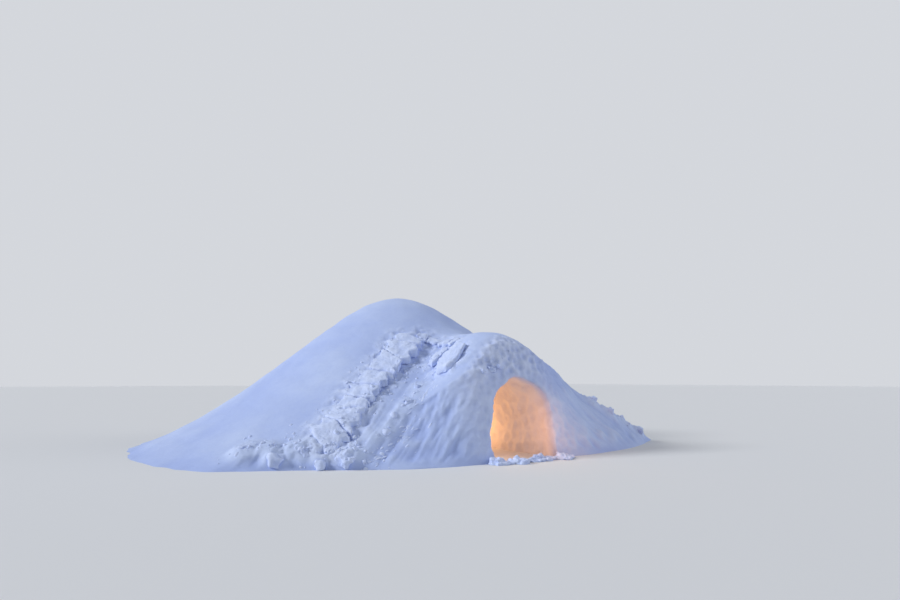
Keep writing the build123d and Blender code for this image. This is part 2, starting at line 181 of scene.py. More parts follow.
@dataclass
class SnowNodes:
    """Nodes of one snow material, with the sizes of its pattern."""

    tree: NodeTree
    broad: Cloud = Cloud(1.1, 4.0)
    broad_share: float = 0.45
    fine: Cloud = Cloud(0.09, 5.0, 0.65)
    fine_share: float = 0.35
    shade_to_light: Limits = (0.45, 1.35)
    lump_detail: float = 3.0
    grain_detail: float = 4.0
    grain_rough: float = 0.7

    def __post_init__(self) -> None:
        """Add the coordinates and the painted hollow-shade weight, 0 in hollows and 1 on crests."""
        self.place = self.tree.nodes.new("ShaderNodeTexCoord").outputs["Object"]
        # Painted shade: this weight paints the colour darker in hollows and lighter on crests.
        self.relief = self.weight(Mask.RELIEF)

    def weight(self, mask: Mask) -> NodeSocket:
        """Read one weight from the mesh.

        Args:
            mask: Weight to read.

        Returns:
            The weight's socket.
        """
        node = self.tree.nodes.new("ShaderNodeAttribute")
        node.attribute_name = mask.value
        return node.outputs["Fac"]

    def noise(self, cloud: Cloud) -> NodeSocket:
        """Cloudy noise.

        Args:
            cloud: Kind of noise.

        Returns:
            The noise value from 0 to 1.
        """
        node = self.tree.nodes.new("ShaderNodeTexNoise")
        node.inputs["Scale"].default_value = 1.0 / cloud.size
        node.inputs["Detail"].default_value = cloud.detail
        node.inputs["Roughness"].default_value = cloud.rough
        self.tree.links.new(self.place, node.inputs["Vector"])
        return node.outputs["Fac"]

    def scaled(self, value: NodeSocket, share: float, added: "NodeSocket | None" = None) -> NodeSocket:
        """Scale a socket, and add another where one is given.

        Args:
            value: Socket to scale.
            share: Factor.
            added: Socket to add.

        Returns:
            The scaled socket or the sum.
        """
        node = self.tree.nodes.new("ShaderNodeMath")
        node.operation = "MULTIPLY"
        self.tree.links.new(value, node.inputs[0])
        node.inputs[1].default_value = share
        if added is not None:
            node.operation = "MULTIPLY_ADD"
            self.tree.links.new(added, node.inputs[2])
        return node.outputs[0]

    def mix(self, kind: str, factor: NodeSocket, first: object, second: object) -> NodeSocket:
        """Blend two sockets or numbers.

        Args:
            kind: FLOAT or RGBA.
            factor: Share of the second.
            first: Socket, number or colour at 0.
            second: Socket, number or colour at 1.

        Returns:
            The blended socket.
        """
        node = self.tree.nodes.new("ShaderNodeMix")
        node.data_type = kind
        self.tree.links.new(factor, node.inputs["Factor"])
        suffix = "Float" if kind == "FLOAT" else "Color"
        for name, value in (("A_", first), ("B_", second)):
            socket = next(s for s in node.inputs if s.identifier == name + suffix)
            if isinstance(value, NodeSocket):
                self.tree.links.new(value, socket)
            else:
                socket.default_value = value
        return next(s for s in node.outputs if s.identifier == "Result_" + suffix)

    def colour(self, tone: Tone) -> NodeSocket:
        """Colour that wanders at random between a light and a shade, with painted shade, darker where the
        relief is low, and painted light on its crests.

        Args:
            tone: Snow to colour.

        Returns:
            The colour socket.
        """
        # The painted hollow-shade weight is added to the broad noise.
        broad = self.scaled(self.noise(self.broad), self.broad_share, self.relief)
        both = self.scaled(self.noise(self.fine), self.fine_share, broad)
        ramp = self.tree.nodes.new("ShaderNodeMapRange")
        ramp.interpolation_type = "SMOOTHSTEP"
        ramp.inputs["From Min"].default_value, ramp.inputs["From Max"].default_value = self.shade_to_light
        self.tree.links.new(both, ramp.inputs["Value"])
        return self.mix("RGBA", ramp.outputs["Result"], (*tone.shade, 1.0), (*tone.light, 1.0))

    def height(self, tone: Tone) -> NodeSocket:
        """Bump height: soft lumps with grain on them.

        Args:
            tone: Snow to grain.

        Returns:
            The height socket.
        """
        lumps = self.noise(Cloud(tone.lump_size, self.lump_detail))
        grain = self.noise(Cloud(tone.grain_size, self.grain_detail, self.grain_rough))
        return self.scaled(grain, tone.grain_depth, self.scaled(lumps, tone.lump_depth))


@dataclass(frozen=True)
class SnowFinish:
    """Procedural snow that blends the kinds of snow by the weights on the mesh."""

    name: str
    packed: Tone
    layers: tuple[tuple[Mask, Tone], ...]
    specular: float = 0.35

    def make(self) -> Material:
        """Build the node material.

        Returns:
            The finished material.
        """
        material = bpy.data.materials.new(self.name)
        material.use_nodes = True
        tree = material.node_tree
        tree.nodes.clear()
        output = tree.nodes.new("ShaderNodeOutputMaterial")
        shader = tree.nodes.new("ShaderNodeBsdfPrincipled")
        shader.inputs["Specular IOR Level"].default_value = self.specular
        tree.links.new(shader.outputs[0], output.inputs["Surface"])
        nodes = SnowNodes(tree)
        colour, rough, height = nodes.colour(self.packed), self.packed.roughness, nodes.height(self.packed)
        for mask, tone in self.layers:
            weight = nodes.weight(mask)
            colour = nodes.mix("RGBA", weight, colour, nodes.colour(tone))
            rough = nodes.mix("FLOAT", weight, rough, tone.roughness)
            height = nodes.mix("FLOAT", weight, height, nodes.height(tone))
        tree.links.new(colour, shader.inputs["Base Color"])
        tree.links.new(rough, shader.inputs["Roughness"])
        bump = tree.nodes.new("ShaderNodeBump")
        bump.inputs["Strength"].default_value = 1.0
        bump.inputs["Distance"].default_value = 1.0
        tree.links.new(height, bump.inputs["Height"])
        tree.links.new(bump.outputs["Normal"], shader.inputs["Normal"])
        return material


# The open-air tones are snow's own pale blue-white deepened to a strong blue, which is painted blue night
# light; each shade tone is darker and bluer, as painted shade.
PACKED_TONE = Tone(light=(0.52, 0.62, 0.89), shade=(0.38, 0.48, 0.82), roughness=0.75, grain_size=0.012,
                   grain_depth=0.0012, lump_size=0.20, lump_depth=0.010)
# The hewn tone is lighter than packed snow: the cut snow's own tone plus painted light on the front-facing cut
# faces.
HEWN_TONE = Tone(light=(0.60, 0.68, 0.91), shade=(0.41, 0.50, 0.81), roughness=0.70, grain_size=0.014,
                 grain_depth=0.0020, lump_size=0.08, lump_depth=0.012)
GLAZED_TONE = Tone(light=(0.80, 0.77, 0.80), shade=(0.63, 0.62, 0.72), roughness=0.50, grain_size=0.020,
                   grain_depth=0.0016, lump_size=0.10, lump_depth=0.020)
# The loose tone is lighter than packed snow: the broken snow's own tone plus painted light on the raised crust
# band and lumps.
LOOSE_TONE = Tone(light=(0.60, 0.69, 0.94), shade=(0.44, 0.54, 0.86), roughness=0.80, grain_size=0.010,
                  grain_depth=0.0022, lump_size=0.06, lump_depth=0.006)
SNOW_LAYERS = ((Mask.HEWN, HEWN_TONE), (Mask.GLAZE, GLAZED_TONE), (Mask.CRUST, LOOSE_TONE))


@dataclass(frozen=True)
class Relief:
    """Depths and sizes of the weathering, places from the doorway, and the fall of the streaks.

    Each noise of three numbers gives the fall-off, the step in size and the octaves of its finer parts.
    """

    swell: float = 0.040
    swell_size: float = 1.5
    dimple: float = 0.011
    dimple_size: float = 0.36
    strata: float = 0.007
    strata_length: float = 1.7
    strata_height: float = 0.17
    chop: float = 0.036
    chop_size: float = 0.15
    chop_top: float = 1.62
    chop_fade: float = 0.1
    scrape: float = 0.046
    scrape_size: float = 0.20
    tread: float = 0.045
    tread_size: float = 0.17
    tread_noise: tuple[float, float, int] = (0.8, 2.0, 3)
    streak: float = 0.032
    streak_length: float = 1.9
    streak_width: float = 0.15
    streak_fall: Triple = (-0.72, -0.38, -0.58)
    streak_noise: tuple[float, float, int] = (0.9, 2.0, 3)
    trample: float = 0.050
    trample_size: float = 0.24
    trample_fade: Limits = (0.3, 0.75)
    drift: float = 0.060
    toe: float = 0.050
    toe_size: float = 1.60
    toe_noise: tuple[float, float, int] = (0.8, 2.2, 3)
    toe_mean: float = 0.5
    toe_top: float = 0.22
    crest_wear: float = 0.120
    crest_place: Triple = (1.32, 0.74, 1.98)
    crest_reach: float = 0.66
    edge_rounds: int = 5
    tip_rounds: int = 70
    tip_reach: float = 0.75
    tip_core: float = 0.3
    tip_sides: tuple[Limits, ...] = ((-0.50, -0.87), (0.90, -0.40))

    def streak_place(self, here: Vector, right: bool) -> Vector:
        """Stretch the coordinates along the streaks.

        Args:
            here: Place on the dug face.
            right: Whether the place is right of the doorway, where the streaks fall to the right.

        Returns:
            Coordinates for the streaks' noise.
        """
        fall = Vector(self.streak_fall)
        if right:
            fall.x = -fall.x
        along = here.dot(fall)
        return (here - fall * along) / self.streak_width + fall * (along / self.streak_length)

    def strata_place(self, here: Vector) -> Vector:
        """Stretch the coordinates level, for the snow's faint layers."""
        return Vector((here.x / self.strata_length, here.y / self.strata_length, here.z / self.strata_height))


@dataclass(frozen=True)
class Zones:
    """Where the chamber, the tunnel, its rim and the dug front lie: from the doorway or above the ground."""

    chamber_middle: float = 0.9
    chamber_radius: float = 2.7
    chamber_top: float = 2.85
    tunnel_middle: float = 0.7
    tunnel_half: float = 1.0
    tunnel_span: Limits = (-0.3, 2.9)
    tunnel_top: float = 1.8
    throat_start: Limits = (0.05, 0.25)
    throat_end: Limits = (1.2, 1.6)
    throat_top: float = 1.75
    face_run: float = 0.344
    rim_fade: Limits = (-0.15, 0.10)
    rim_depth: float = 0.6
    rim_run: float = 0.4
    rim_hewn: float = 0.7
    front_facing: Limits = (0.38, 0.66)
    front_end: Limits = (2.3, 2.8)
    hewn_middle: float = 0.1
    hewn_reach: Limits = (0.9, 1.7)
    crust_reach: float = 0.30
    drift_reach: float = 0.26


GROUND = ((0, 0, 0), (0, 0, -1))
# Gores of the dome's two lifts: the directions in which they start and end, in degrees.
LOW_GORES = {
    "neck_wall_left": (240, 276), "neck_wall_right": (276, 308), "dome_wall_front_right": (308, 345),
    "dome_wall_right": (345, 385), "dome_wall_back_right": (25, 68), "dome_wall_back": (68, 112),
    "dome_wall_back_left": (112, 155), "dome_wall_left": (155, 198), "dome_wall_front_left": (198, 240),
}
HIGH_GORES = {
    "shoulder_front": (238, 310), "shoulder_right": (310, 382), "shoulder_back_right": (22, 94),
    "shoulder_back_left": (94, 166), "shoulder_left": (166, 238),
}
HEWN_NODES = ("cheek_wall_left", "cheek_wall_right", "portal_arch", "hewn_chips")
GLAZED_NODES = ("tunnel_wall_left", "tunnel_wall_right", "tunnel_vault", "neck_wall_left", "neck_wall_right")
LOOSE_NODES = ("crust_upper", "crust_lower", "crust_slab", "crust_crumbs", "hewn_chips", "threshold_sill",
               "foot_clods_left", "foot_clods_right")
CRUST_NODES = ("crust_upper", "crust_lower", "crust_slab")
# Share of the full drift that is heaped round these lumps.
DRIFTED_NODES = {"crust_crumbs": 0.90, "foot_clods_left": 1.30, "foot_clods_right": 1.0}


def slot_of(name: str) -> Slot:
    """Material slot of one of the frame's nodes."""
    listed = ((HEWN_NODES, Slot.HEWN), (GLAZED_NODES, Slot.GLAZED), (LOOSE_NODES, Slot.LOOSE))
    return next((slot for names, slot in listed if name in names), Slot.PACKED)


@dataclass
class HeapMass:
    """The whole mass of packed snow, weathered as one body and cut into the frame's pieces."""

    layout: Layout
    voxel: float = 0.033
    skirt: float = 0.12
    relief: Relief = Relief()
    zones: Zones = Zones()

    def dress(self, nodes: Nodes, loose: Nodes, finishes: dict[Slot, Material]) -> Mesh:
        """Make and dress all the pieces of the mass.

        Args:
            nodes: The frame's nodes of packed snow by name.
            loose: The frame's nodes of loose snow by name, round which the mass is trodden or drifted.
            finishes: Material of each slot.

        Returns:
            The whole weathered mesh, for what lies on it.
        """
        mesh = self._fused(nodes)
        self._weather(mesh, loose)
        for name, cut in self._cells(mesh):
            slot = slot_of(name)
            part = bpy.data.meshes.new("snow_" + name)
            cut.to_mesh(part)
            cut.free()
            share_normals(part)
            add_piece("snow_" + name, part, finishes[slot], name)
        return mesh

    def _fused(self, nodes: Nodes) -> Mesh:
        """Fuse the frame's pieces and remesh them evenly.

        Args:
            nodes: The frame's nodes of packed snow by name.

        Returns:
            One closed mesh with even faces.
        """
        copies = [welded_copy(nodes[name], self.skirt) for name in sorted(nodes)]
        first, others = copies[0], copies[1:]
        bpy.context.scene.collection.objects.link(first)
        cells = bpy.data.collections.new("cells")
        for other in others:
            cells.objects.link(other)
        union = first.modifiers.new("union", "BOOLEAN")
        settle(union, operation="UNION", operand_type="COLLECTION", collection=cells, solver="MANIFOLD")
        fused = remeshed(first, self.voxel)
        for copy in copies:
            bpy.data.meshes.remove(copy.data)
        bpy.data.collections.remove(cells)
        return fused

    def _weather(self, mesh: Mesh, loose: Nodes) -> None:
        """Soften the edges, press in the relief and leave the weights for the finishes.

        Args:
            mesh: The fused mesh, changed in place.
            loose: The frame's nodes of loose snow by name.
        """
        edges = read_values(mesh.edges, "vertices", 2, int)
        place = relax(read_values(mesh.vertices, "co", 3), edges, self.relief.edge_rounds)
        place = self._rounded(place, edges)
        move_points(mesh, place)
        normal = snow_normals(mesh)
        masks = self._masks(place, normal, loose)
        depth = self._depth(place, masks)
        move_points(mesh, place + normal * depth[:, None])
        # Painted shade from the relief: hollows are painted darker and crests lighter.
        masks[Mask.RELIEF] = hollow_shade_weight(depth, self.relief.swell, LEVEL_HOLLOW_SHADE)
        write_masks(mesh, masks)
        layer = mesh.attributes.new("snow_normal", "FLOAT_VECTOR", "POINT")
        layer.data.foreach_set("vector", snow_normals(mesh).astype(np.float32).ravel())

    def _from_door(self, place: np.ndarray) -> tuple[np.ndarray, np.ndarray, np.ndarray]:
        """Coordinates of points from the doorway's foot."""
        return place[:, 0] - self.layout.door_x, place[:, 1] - self.layout.door_y, place[:, 2]

    def _rounded(self, place: np.ndarray, edges: np.ndarray) -> np.ndarray:
        """Round off the tips where the dug face runs out, and the throat behind the flared doorway.

        Args:
            place: Points of the mass.
            edges: Pairs of joined points.

        Returns:
            The moved points.
        """
        sizes, zones = self.relief, self.zones
        weight = np.zeros(len(place))
        for side_x, side_y in sizes.tip_sides:
            tip = place[np.argmax(place[:, 0] * side_x + place[:, 1] * side_y)]
            away = np.hypot(place[:, 0] - tip[0], place[:, 1] - tip[1])
            core = sizes.tip_core * sizes.tip_reach
            weight = np.maximum(weight, 1 - smooth_step(away, core, sizes.tip_reach))
        x, y, z = self._from_door(place)
        behind = smooth_step(y - zones.face_run * z, *zones.throat_start)
        behind = behind * (1 - smooth_step(y, *zones.throat_end))
        throat = np.where((np.abs(x) < zones.tunnel_half) & (z < zones.throat_top), behind, 0.0)
        return relax(place, edges, sizes.tip_rounds, np.maximum(weight, throat)[:, None], 0.0)

    def _masks(self, place: np.ndarray, normal: np.ndarray, loose: Nodes) -> dict[Mask, np.ndarray]:
        """Where the snow is hewn, dug, glazed, trodden or drifted.

        Args:
            place: Points of the mass.
            normal: Normals there.
            loose: The frame's nodes of loose snow by name.

        Returns:
            One weight from 0 to 1 for each point and mask.
        """
        lay, zones = self.layout, self.zones
        x, y, z = self._from_door(place)
        to_axis = np.stack([lay.dome_x - place[:, 0], lay.dome_y - place[:, 1], zones.chamber_middle - z], 1)
        within = np.hypot(to_axis[:, 0], to_axis[:, 1]) < zones.chamber_radius
        facing_in = np.einsum("ij,ij->i", to_axis, normal) > 0
        chamber = within & facing_in & (z < zones.chamber_top)
        start, end = zones.tunnel_span
        tunnel = (np.abs(x) < zones.tunnel_half) & (y > start) & (y < end) & (z < zones.tunnel_top)
        tunnel &= -x * normal[:, 0] + (zones.tunnel_middle - z) * normal[:, 2] > 0
        behind_rim = smooth_step(y - zones.face_run * z, *zones.rim_fade)
        glaze = np.where(chamber, 1.0, np.where(tunnel, behind_rim, 0.0))
        # The hewn weight is highest on faces turned to the front; besides chipping them, it paints the lighter
        # hewn tone there, which is partly painted light.
        front = smooth_step(-normal[:, 1], *zones.front_facing) * (1 - smooth_step(y, *zones.front_end))
        beside = 1 - smooth_step(np.abs(x - zones.hewn_middle), *zones.hewn_reach)
        at_rim = tunnel & (y < zones.rim_depth + zones.rim_run * z)
        hewn = np.maximum(front * beside, np.where(at_rim, zones.rim_hewn, 0.0))
        # The crust weight paints the lighter loose tone round the crust band, partly as painted light.
        trodden = nearness(place, [loose[name] for name in CRUST_NODES], zones.crust_reach)
        drifted = np.zeros(len(place))
        for name, share in DRIFTED_NODES.items():
            drifted = np.maximum(drifted, share * nearness(place, [loose[name]], zones.drift_reach))
        open_air = 1 - glaze
        return {Mask.HEWN: hewn * open_air, Mask.DUG: front * (1 - beside) * open_air, Mask.GLAZE: glaze,
                Mask.CRUST: trodden * open_air, Mask.DRIFT: drifted * open_air}

    def _depth(self, place: np.ndarray, masks: dict[Mask, np.ndarray]) -> np.ndarray:
        """Relief along the normal at each point.

        Args:
            place: Points of the mass.
            masks: Weights of the kinds of snow.

        Returns:
            Distance outwards.
        """
        sizes, lay = self.relief, self.layout
        depth = np.empty(len(place))
        height = place[:, 2]
        hewn, dug, glaze, crust = (masks[m] for m in (Mask.HEWN, Mask.DUG, Mask.GLAZE, Mask.CRUST))
        foot = dug * (1 - smooth_step(height, *sizes.trample_fade))
        chop = sizes.chop * (1 + smooth_step(height, sizes.chop_top - sizes.chop_fade,
                                             sizes.chop_top + sizes.chop_fade))
        smooth = (1 - glaze) * (1 - hewn) * (1 - dug)
        inland = smooth_step(height, 0.0, sizes.toe_top)
        for i, point in enumerate(place):
            here = Vector(point)
            open_air = 1.0 - glaze[i]
            value = sizes.swell * noise.noise(here / sizes.swell_size) * open_air
            value += sizes.dimple * noise.noise(here / sizes.dimple_size) * open_air
            if smooth[i] > SLIGHT:
                value += smooth[i] * sizes.strata * noise.noise(sizes.strata_place(here))
            if hewn[i] > SLIGHT:
                value += hewn[i] * chop[i] * chipped(here, sizes.chop_size)
            if dug[i] > SLIGHT:
                streaked = sizes.streak_place(here, here.x > lay.door_x)
                value += dug[i] * sizes.streak * noise.fractal(streaked, *sizes.streak_noise)
            if foot[i] > SLIGHT:
                value += foot[i] * sizes.trample * noise.noise(here / sizes.trample_size)
            if glaze[i] > SLIGHT:
                value += glaze[i] * sizes.scrape * chipped(here, sizes.scrape_size)
            if crust[i] > SLIGHT:
                value += crust[i] * sizes.tread * noise.fractal(here / sizes.tread_size, *sizes.tread_noise)
            if inland[i] < 1.0 and open_air > glaze[i]:
                wander = noise.fractal(here / sizes.toe_size, *sizes.toe_noise)
                retreat = sizes.toe * (sizes.toe_mean + wander)
                value = inland[i] * value - (1 - inland[i]) * max(retreat, 0.0)
            depth[i] = value
        depth += sizes.drift * masks[Mask.DRIFT] ** 2 * inland
        crest = np.array((lay.door_x, lay.door_y, 0.0)) + np.array(sizes.crest_place)
        away = np.linalg.norm(place - crest, axis=1) / sizes.crest_reach
        return depth - sizes.crest_wear * np.exp(-away**2) * (1 - glaze)

    def _cells(self, mesh: Mesh) -> Cells:
        """Cut the mass along the frame's joints and level with the ground.

        Args:
            mesh: The weathered mass.

        Returns:
            Name and cut of each piece.
        """
        neck = (0, self.layout.neck_y, 0)
        whole = bmesh.new()
        whole.from_mesh(mesh)
        whole.faces.layers.int.new("cap")
        back = cut_cell(whole, [(neck, (0, -1, 0))])
        front = cut_cell(whole, [(neck, (0, 1, 0))])
        cells = self._dome_cells(back) + self._porch_cells(front)
        for cut in (whole, back, front):
            cut.free()
        return cells

    def _dome_cells(self, back: BMesh) -> Cells:
        """Cut the dome into its crown and two rings of gores.

        Args:
            back: What lies behind the porch.

        Returns:
            Name and cut of each piece.
        """
        first_joint, second_joint = (0, 0, self.layout.lift_low), (0, 0, self.layout.lift_high)
        up, down = (0, 0, 1), (0, 0, -1)
        low = cut_cell(back, [(first_joint, up), GROUND])
        high = cut_cell(back, [(first_joint, down), (second_joint, up)])
        cells = [("dome_crown", cut_cell(back, [(second_joint, down)]))]
        for source, gores in ((low, LOW_GORES), (high, HIGH_GORES)):
            for name, (start, end) in gores.items():
                cells.append((name, cut_cell(source, [self._ray(start, -1), self._ray(end, 1)])))
            source.free()
        return cells

    def _porch_cells(self, front: BMesh) -> Cells:
        """Cut the porch into its walls, arch, vault, banks and wing.

        Args:
            front: What lies before the dome.

        Returns:
            Name and cut of each piece.
        """
        lay = self.layout
        arch_low, arch_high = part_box("portal_arch")
        left, right, middle = (arch_low.x, 0, 0), (arch_high.x, 0, 0), (lay.door_x, 0, 0)
        bank, portal = (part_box("bank_left_inner")[0].x, 0, 0), (0, lay.door_y + lay.PORTAL_DEPTH, 0)
        west, east, south, north = (1, 0, 0), (-1, 0, 0), (0, 1, 0), (0, -1, 0)
        low = cut_cell(front, [((0, 0, lay.lift_low), (0, 0, 1)), GROUND])
        high = cut_cell(front, [((0, 0, lay.lift_low), (0, 0, -1))])
        plan = [
            ("cheek_wall_left", low, [(left, east), (middle, west), (portal, south)]),
            ("cheek_wall_right", low, [(middle, east), (right, west), (portal, south)]),
            ("tunnel_wall_left", low, [(left, east), (middle, west), (portal, north)]),
            ("tunnel_wall_right", low, [(middle, east), (right, west), (portal, north)]),
            ("bank_left_inner", low, [(bank, east), (left, west)]),
            ("bank_left_outer", low, [(bank, west)]),
            ("wing_right", low, [(right, east)]),
            ("portal_arch", high, [(left, east), (right, west), (portal, south)]),
            ("tunnel_vault", high, [(left, east), (right, west), (portal, north)]),
            ("flank_left_upper", high, [(left, west)]),
            ("flank_right_upper", high, [(right, east)]),
        ]
        cells = [(name, cut_cell(source, planes)) for name, source, planes in plan]
        low.free()
        high.free()
        return cells

    def _ray(self, angle: float, side: int) -> Plane:
        """Upright plane through the dome's axis: side 1 keeps what lies clockwise of it, and -1 the rest."""
        turn = math.radians(angle)
        return (self.layout.dome_x, self.layout.dome_y, 0), (-side * math.sin(turn), side * math.cos(turn), 0)


def new_object(name: str, data: ID) -> Object:
    """Add an object to the scene.

    Args:
        name: Name of the object.
        data: Its mesh, lamp or camera.

    Returns:
        The new object.
    """
    added = bpy.data.objects.new(name, data)
    bpy.context.scene.collection.objects.link(added)
    return added


def add_piece(name: str, mesh: Mesh, material: Material, node: str = "") -> Object:
    """Add a finished piece to the scene, on the igloo's one body.

    Args:
        name: Name of the piece.
        mesh: Its mesh.
        material: Its finish.
        node: The frame's node that it stands for, if there is one.

    Returns:
        The new piece.
    """
    mesh.materials.append(material)
    piece = new_object(name, mesh)
    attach(piece, "root")
    if node:
        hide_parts(node)
    LOG.info("%s: %d faces", name, len(mesh.polygons))
    return piece


def settle(item: object, **settings: object) -> None:
    """Set several of an item's properties.

    Args:
        item: Lamp, camera or modifier.
        settings: Value of each property.
    """
    for name, value in settings.items():
        setattr(item, name, value)


def read_values(items: bpy.types.bpy_prop_collection, name: str, width: int = 1,
                kind: type = float) -> np.ndarray:
    """Read a property of every item of a mesh.

    Args:
        items: Points, edges, corners, faces or an attribute's values.
        name: Property to read.
        width: How many numbers it holds.
        kind: Type of the numbers.

    Returns:
        One number, or one row of numbers, for each item.
    """
    values = np.empty(len(items) * width, kind)
    items.foreach_get(name, values)
    return values.reshape(-1, width) if width > 1 else values


def move_points(mesh: Mesh, place: np.ndarray) -> None:
    """Move the points of a mesh to new places."""
    mesh.vertices.foreach_set("co", place.ravel())
    mesh.update()


def shade_smooth(mesh: Mesh) -> None:
    """Shade all faces of a mesh smooth."""
    mesh.polygons.foreach_set("use_smooth", np.ones(len(mesh.polygons), bool))


def hollow_shade_weight(depth: np.ndarray, scale: float, level: float) -> np.ndarray:
    """Painted hollow-shade weight of each point: 0 in hollows, painted darkest, the level one where there is no
    relief, 1 on crests, painted lightest.
    """
    return np.clip(level + depth / (HOLLOW_SHADE_SPAN * scale), 0.0, 1.0)


def write_masks(mesh: Mesh, masks: dict[Mask, np.ndarray]) -> None:
    """Leave the weights on a mesh for its finish.

    Args:
        mesh: Mesh to write to.
        masks: One weight for each point and mask.
    """
    for mask in FINISH_MASKS:
        layer = mesh.attributes.new(mask.value, "FLOAT", "POINT")
        layer.data.foreach_set("value", masks[mask].astype(np.float32))


def write_loose(mesh: Mesh, relief: np.ndarray) -> None:
    """Leave the weights of loose snow on a mesh, with the painted hollow-shade weight of each point."""
    none = np.zeros(len(relief))
    write_masks(mesh, {Mask.HEWN: none, Mask.GLAZE: none, Mask.CRUST: none + 1, Mask.RELIEF: relief})


def welded_copy(node: Object, skirt: float = 0.0) -> Object:
    """Copy a node with its faces joined at their edges, and with its sole lowered where a skirt is given.

    Args:
        node: The frame's node.
        skirt: How far its sole is lowered below the ground.

    Returns:
        The copy, which isn't in the scene.
    """
    mesh = node.data.copy()
    welded = bmesh.new()
    welded.from_mesh(mesh)
    bmesh.ops.remove_doubles(welded, verts=welded.verts, dist=WELD)
    if skirt > 0.0:
        soles = [f for f in welded.faces if all(abs(v.co.z) < SOLE for v in f.verts)]
        for item in bmesh.ops.extrude_face_region(welded, geom=soles)["geom"]:
            if isinstance(item, BMVert):
                item.co.z -= skirt
        bmesh.ops.delete(welded, geom=soles, context="FACES")
    welded.to_mesh(mesh)
    welded.free()
    return bpy.data.objects.new("copy_" + node.name, mesh)


def remeshed(source: Object, voxel: float) -> Mesh:
    """Remesh an object evenly, after its other modifiers.

    Args:
        source: Object in the scene.
        voxel: Size of the new faces.

    Returns:
        The new mesh.
    """
    settle(source.modifiers.new("even", "REMESH"), mode="VOXEL", voxel_size=voxel)
    return bpy.data.meshes.new_from_object(source.evaluated_get(bpy.context.evaluated_depsgraph_get()))


def relax(place: np.ndarray, edges: np.ndarray, rounds: int, weight: "np.ndarray | float" = 1.0,
          back: float = BACK) -> np.ndarray:
    """Round off sharp edges by moving points towards their neighbours and part of the way back.

    Args:
        place: Points of the mesh.
        edges: Pairs of joined points.
        rounds: How many times to relax.
        weight: Share of the move that each point makes.
        back: Share of the way that the second move of each round takes, or 0 for none.

    Returns:
        The moved points.
    """
    count = np.bincount(edges.ravel(), minlength=len(place)).astype(float)[:, None]
    moves = [PUSH, back] if back else [PUSH]
    for push in moves * rounds:
        total = np.zeros_like(place)
        for axis in range(3):
            total[:, axis] = np.bincount(edges[:, 0], place[edges[:, 1], axis], len(place))
            total[:, axis] += np.bincount(edges[:, 1], place[edges[:, 0], axis], len(place))
        place = place + weight * push * (total / np.maximum(count, 1) - place)
    return place


def nearness(place: np.ndarray, nodes: list[Object], reach: float) -> np.ndarray:
    """How near each point lies to some nodes.

    Args:
        place: Points to test.
        nodes: The frame's nodes.
        reach: Distance at which the result falls to 0.

    Returns:
        1 on the nodes' surface, falling to 0, for each point.
    """
    result = np.zeros(len(place))
    for node in nodes:
        tree = kd_tree(node.data)
        low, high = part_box(node.name)
        near = np.all((place > np.array(low) - reach) & (place < np.array(high) + reach), axis=1)
        for i in np.flatnonzero(near):
            result[i] = max(result[i], 1.0 - tree.find(place[i])[2] / reach)
    return result


def corners(mesh: Mesh) -> tuple[np.ndarray, np.ndarray]:
    """Read the point and the face of each corner of a mesh."""
    total = read_values(mesh.polygons, "loop_total", kind=int)
    return read_values(mesh.loops, "vertex_index", kind=int), np.repeat(np.arange(len(total)), total)


def snow_normals(mesh: Mesh) -> np.ndarray:
    """Normals of a mesh at its points.

    Args:
        mesh: Mesh to read.

    Returns:
        One unit normal for each point.
    """
    faces = read_values(mesh.polygons, "normal", 3)
    weight = read_values(mesh.polygons, "area")
    point, owner = corners(mesh)
    normals = np.zeros((len(mesh.vertices), 3))
    for axis in range(3):
        normals[:, axis] = np.bincount(point, (faces[:, axis] * weight)[owner], len(mesh.vertices))
    return normals / np.maximum(np.linalg.norm(normals, axis=1, keepdims=True), LEAST_LENGTH)


def kd_tree(mesh: Mesh) -> KDTree:
    """Search tree over the points and face centres of a mesh.

    Args:
        mesh: Mesh to search.

    Returns:
        The balanced tree.
    """
    points = [v.co for v in mesh.vertices] + [p.center for p in mesh.polygons]
    tree = KDTree(len(points))
    for i, point in enumerate(points):
        tree.insert(point, i)
    tree.balance()
    return tree


def chipped(here: Vector, size: float) -> float:
    """Relief of snow cut away in small flat chips of one size, from -0.5 to 0.5."""
    distances, _ = noise.voronoi(here / size)
    return min(distances[0] * CHIP_STEEPNESS, 1.0) - CHIP_MIDDLE


def cut_cell(source: BMesh, planes: list[Plane]) -> BMesh:
    """Copy what lies behind all the planes and close it with flat caps.

    Args:
        source: Closed mesh, left as it is.
        planes: A point on each plane and the direction that is cut away.

    Returns:
        The closed cut.
    """
    cell = source.copy()
    cap = cell.faces.layers.int["cap"]
    for point, away in planes:
        geometry = cell.verts[:] + cell.edges[:] + cell.faces[:]
        result = bmesh.ops.bisect_plane(cell, geom=geometry, dist=CUT, plane_co=point, plane_no=away,
                                        clear_outer=True)
        rim = [e for e in result["geom_cut"] if isinstance(e, BMEdge) and len(e.link_faces) == 1]
        filled = bmesh.ops.triangle_fill(cell, use_beauty=True, use_dissolve=False, edges=rim, normal=away)
        for face in filled["geom"]:
            if isinstance(face, BMFace):
                face[cap] = 1
                if face.normal.dot(Vector(away)) < 0:
                    face.normal_flip()
    return cell


def share_normals(mesh: Mesh) -> None:
    """Shade a cut piece with the whole mass's normals, and its caps flat.

    Args:
        mesh: Mesh of the piece, changed in place.
    """
    shared = read_values(mesh.attributes["snow_normal"].data, "vector", 3)
    cap = read_values(mesh.attributes["cap"].data, "value", kind=int)
    faces = read_values(mesh.polygons, "normal", 3)
    point, owner = corners(mesh)
    normals = np.where((cap[owner] == 1)[:, None], faces[owner], shared[point])
    shade_smooth(mesh)
    mesh.normals_split_custom_set(normals.tolist())
    for name in ("snow_normal", "cap"):
        mesh.attributes.remove(mesh.attributes[name])


